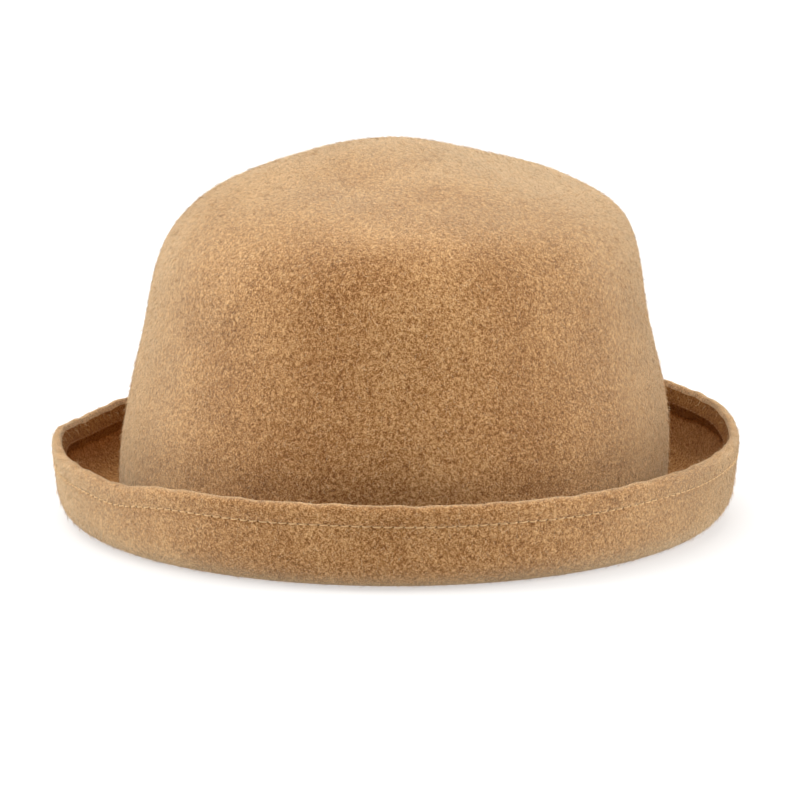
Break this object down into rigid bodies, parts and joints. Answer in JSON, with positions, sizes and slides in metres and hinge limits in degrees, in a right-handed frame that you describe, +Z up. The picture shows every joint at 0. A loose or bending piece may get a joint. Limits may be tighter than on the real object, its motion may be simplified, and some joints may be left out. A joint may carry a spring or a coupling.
{
  "type": "bowler hat",
  "caption": "Wool-felt bowler hat: domed oval crown, rolled-up brim with a stitched wired hem, ribbon sweatband and small bow inside.",
  "frame": {"origin": "bottom centre of the hat, on the plane that the brim's underside rests on", "axes": "+Z up through the crown, +Y towards the back of the hat where the bow is, +X to the viewer's right from the front"},
  "size_m": [0.2146, 0.2481, 0.1165],
  "materials": {
    "wool_felt": "matt blocked wool felt, camel melange",
    "spring_steel": "drawn spring wire",
    "brass_tube": "drawn and crimped",
    "hem_thread": "spun polyester thread, tan",
    "grosgrain": "ribbed grosgrain, brown",
    "band_thread": "spun polyester thread, brown",
    "bow_ribbon": "narrow ribbed ribbon, brown",
    "woven_label": "woven damask, blank",
    "satin_label": "satin, blank"
  },
  "bodies": {
    "root": {"felt_body": "wool_felt", "brim_wire": "spring_steel", "wire_joiner": "brass_tube", "hem_needle_stitches": "hem_thread", "hem_bobbin_stitches": "hem_thread", "sweatband": "grosgrain", "sweatband_needle_stitches": "band_thread", "sweatband_bobbin_stitches": "hem_thread", "sweatband_joint_stitches": "band_thread", "bow_loops": "bow_ribbon", "bow_knot": "bow_ribbon", "size_label": "woven_label", "care_label": "satin_label"}
  },
  "joints": []
}
